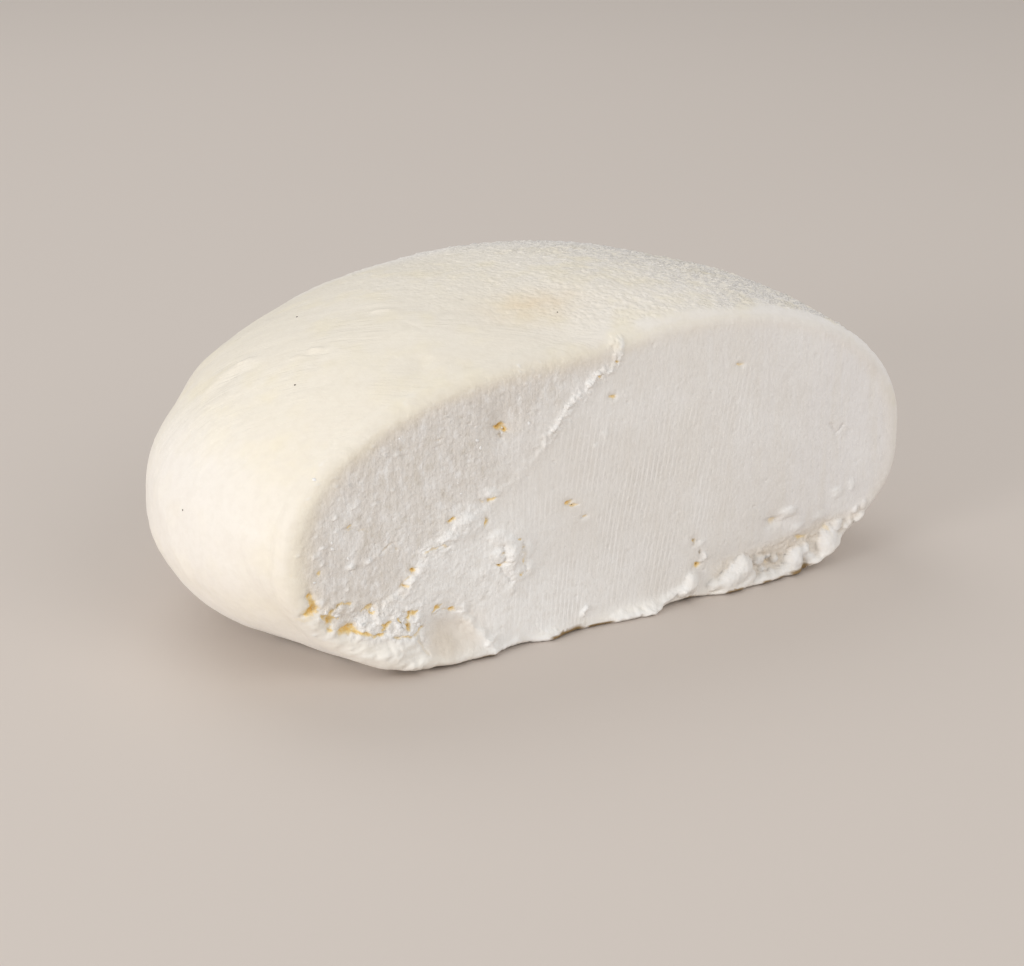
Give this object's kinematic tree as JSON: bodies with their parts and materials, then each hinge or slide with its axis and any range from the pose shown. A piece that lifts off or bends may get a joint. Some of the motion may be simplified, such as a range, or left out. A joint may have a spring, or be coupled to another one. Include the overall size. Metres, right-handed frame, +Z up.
{
  "type": "cut round of white curd cheese",
  "caption": "Cut round of fresh pressed white curd cheese (paneer): domed rind, flat base and an upright knife-cut face with a torn, crumbly lower edge.",
  "frame": {"origin": "under the middle of the cheese, on the surface that it rests on", "axes": "+Z up; the knife-cut face looks along -Y; +X to the right as one looks at the cut"},
  "size_m": [0.1888, 0.128, 0.077],
  "materials": {
    "cheese": "moist matt fresh cheese, cream rind and greyer white cut"
  },
  "bodies": {
    "root": {"paneer": "cheese"}
  },
  "joints": []
}
